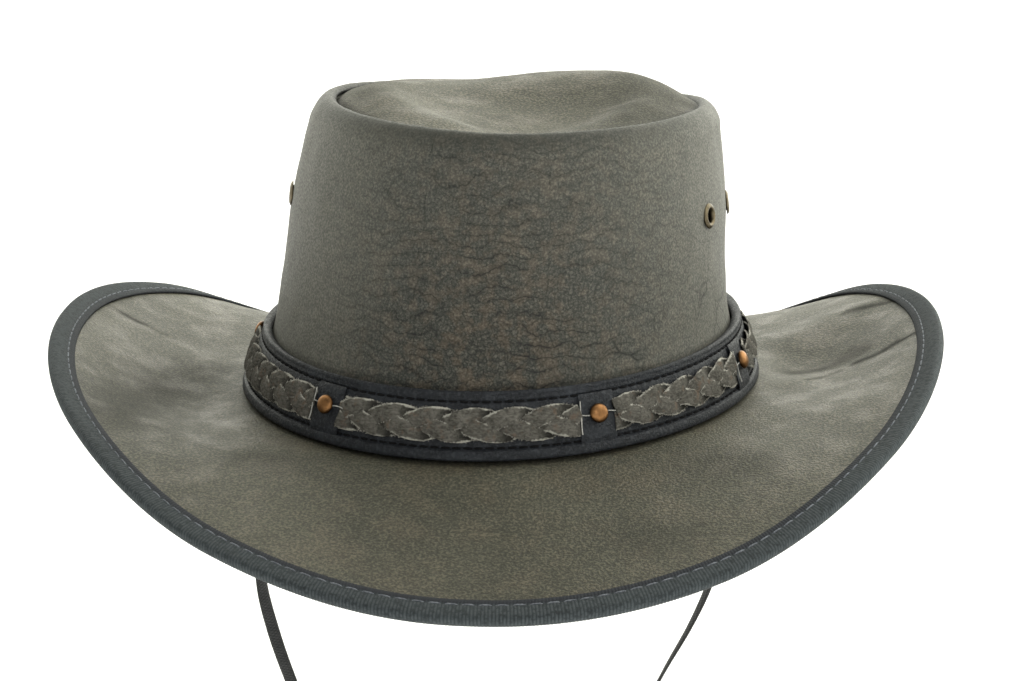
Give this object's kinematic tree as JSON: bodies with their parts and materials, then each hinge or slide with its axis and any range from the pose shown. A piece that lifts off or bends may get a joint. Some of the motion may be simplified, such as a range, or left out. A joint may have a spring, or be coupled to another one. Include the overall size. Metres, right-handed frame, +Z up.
{
  "type": "bush hat",
  "caption": "Wide-brimmed leather bush hat with a rolled-up brim, taped edge, braided and studded hatband, vent eyelets and a hanging chin strap.",
  "frame": {"origin": "middle of the head opening, level with the seam of crown and brim at the sides", "axes": "+Z up through the crown, the front of the hat faces -Y, +X is the wearer's left, on the right of someone who faces the hat"},
  "size_m": [0.3165, 0.362, 0.3592],
  "materials": {
    "crown_leather": "oiled, crackled dark grey-brown",
    "brim_leather": "smooth waxed olive-brown",
    "binding_tape": "slate ribbed tape",
    "band_leather": "black, half gloss",
    "braid_suede": "grey suede",
    "rivet_copper": "brushed copper",
    "eyelet_brass": "antique brass",
    "strap_lace": "matte black flat lace",
    "tab_leather": "plain dark leather"
  },
  "bodies": {
    "root": {"crown_side": "crown_leather", "crown_tip": "crown_leather", "brim": "brim_leather", "brim_binding": "binding_tape", "hatband": "band_leather", "keeper_1": "band_leather", "rivet_1": "rivet_copper", "braid_1": "braid_suede", "keeper_2": "band_leather", "rivet_2": "rivet_copper", "braid_2": "braid_suede", "keeper_3": "band_leather", "rivet_3": "rivet_copper", "braid_3": "braid_suede", "keeper_4": "band_leather", "rivet_4": "rivet_copper", "braid_4": "braid_suede", "keeper_5": "band_leather", "rivet_5": "rivet_copper", "braid_5": "braid_suede", "keeper_6": "band_leather", "rivet_6": "rivet_copper", "braid_6": "braid_suede", "eyelet_right_front": "eyelet_brass", "eyelet_right_rear": "eyelet_brass", "eyelet_left_front": "eyelet_brass", "eyelet_left_rear": "eyelet_brass", "strap_tab_left": "tab_leather", "strap_tab_right": "tab_leather", "chin_strap": "strap_lace"}
  },
  "joints": []
}
